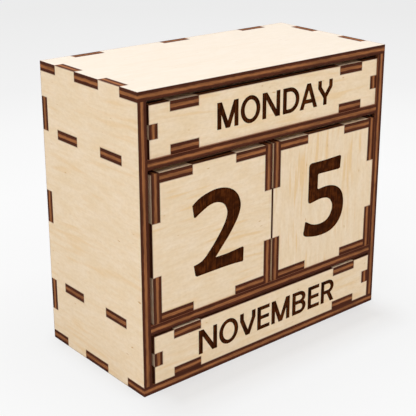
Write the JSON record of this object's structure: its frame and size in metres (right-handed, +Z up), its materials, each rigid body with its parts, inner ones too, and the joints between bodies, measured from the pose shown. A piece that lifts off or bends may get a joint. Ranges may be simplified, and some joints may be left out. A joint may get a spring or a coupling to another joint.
{
  "type": "perpetual desk calendar",
  "caption": "Open-fronted plywood case with finger-jointed loose weekday bars, date cubes and month bars that slide out at the front, turn and swap to set the date.",
  "frame": {"origin": "middle of the case's underside, on the surface that it stands on", "axes": "+Z up; +X to the right as a reader sees the front; the open front faces -Y, +Y goes to the back"},
  "size_m": [0.1032, 0.0512, 0.0956],
  "materials": {
    "plywood": "matt, unfinished, laser-cut"
  },
  "bodies": {
    "case": {"bottom_panel": "plywood", "top_panel": "plywood", "left_side": "plywood", "right_side": "plywood", "back_panel": "plywood", "lower_shelf": "plywood", "upper_shelf": "plywood"},
    "left_cube": {"left_cube_front": "plywood", "left_cube_back": "plywood", "left_cube_left": "plywood", "left_cube_right": "plywood", "left_cube_bottom": "plywood", "left_cube_top": "plywood"},
    "right_cube": {"right_cube_front": "plywood", "right_cube_back": "plywood", "right_cube_left": "plywood", "right_cube_right": "plywood", "right_cube_bottom": "plywood", "right_cube_top": "plywood"},
    "weekday_bar_1": {"weekday_bar_1_front": "plywood", "weekday_bar_1_back": "plywood", "weekday_bar_1_left_end": "plywood", "weekday_bar_1_right_end": "plywood", "weekday_bar_1_bottom": "plywood", "weekday_bar_1_top": "plywood"},
    "weekday_bar_2": {"weekday_bar_2_front": "plywood", "weekday_bar_2_back": "plywood", "weekday_bar_2_left_end": "plywood", "weekday_bar_2_right_end": "plywood", "weekday_bar_2_bottom": "plywood", "weekday_bar_2_top": "plywood"},
    "month_bar_1": {"month_bar_1_front": "plywood", "month_bar_1_back": "plywood", "month_bar_1_left_end": "plywood", "month_bar_1_right_end": "plywood", "month_bar_1_bottom": "plywood", "month_bar_1_top": "plywood"},
    "month_bar_2": {"month_bar_2_front": "plywood", "month_bar_2_back": "plywood", "month_bar_2_left_end": "plywood", "month_bar_2_right_end": "plywood", "month_bar_2_bottom": "plywood", "month_bar_2_top": "plywood"},
    "month_bar_3": {"month_bar_3_front": "plywood", "month_bar_3_back": "plywood", "month_bar_3_left_end": "plywood", "month_bar_3_right_end": "plywood", "month_bar_3_bottom": "plywood", "month_bar_3_top": "plywood"}
  },
  "joints": [
    {"name": "weekday_bar_1_slide", "type": "slide", "parent": "case", "child": "weekday_bar_1", "axis": [0, -1, 0], "range_m": [0, 0.02]},
    {"name": "weekday_bar_2_slide", "type": "slide", "parent": "case", "child": "weekday_bar_2", "axis": [0, -1, 0], "range_m": [0, 0.0153]},
    {"name": "left_cube_slide", "type": "slide", "parent": "case", "child": "left_cube", "axis": [0, -1, 0], "range_m": [0, 0.05]},
    {"name": "right_cube_slide", "type": "slide", "parent": "case", "child": "right_cube", "axis": [0, -1, 0], "range_m": [0, 0.05]},
    {"name": "month_bar_1_slide", "type": "slide", "parent": "case", "child": "month_bar_1", "axis": [0, -1, 0], "range_m": [0, 0.06]},
    {"name": "month_bar_2_slide", "type": "slide", "parent": "case", "child": "month_bar_2", "axis": [0, -1, 0], "range_m": [0, 0.0562]},
    {"name": "month_bar_3_slide", "type": "slide", "parent": "case", "child": "month_bar_3", "axis": [0, -1, 0], "range_m": [0, 0.0522]}
  ],
  "couplings": [
    {"joint": "month_bar_2_slide", "follows": "month_bar_1_slide", "ratio": 0.93333},
    {"joint": "month_bar_3_slide", "follows": "month_bar_1_slide", "ratio": 0.86667}
  ]
}
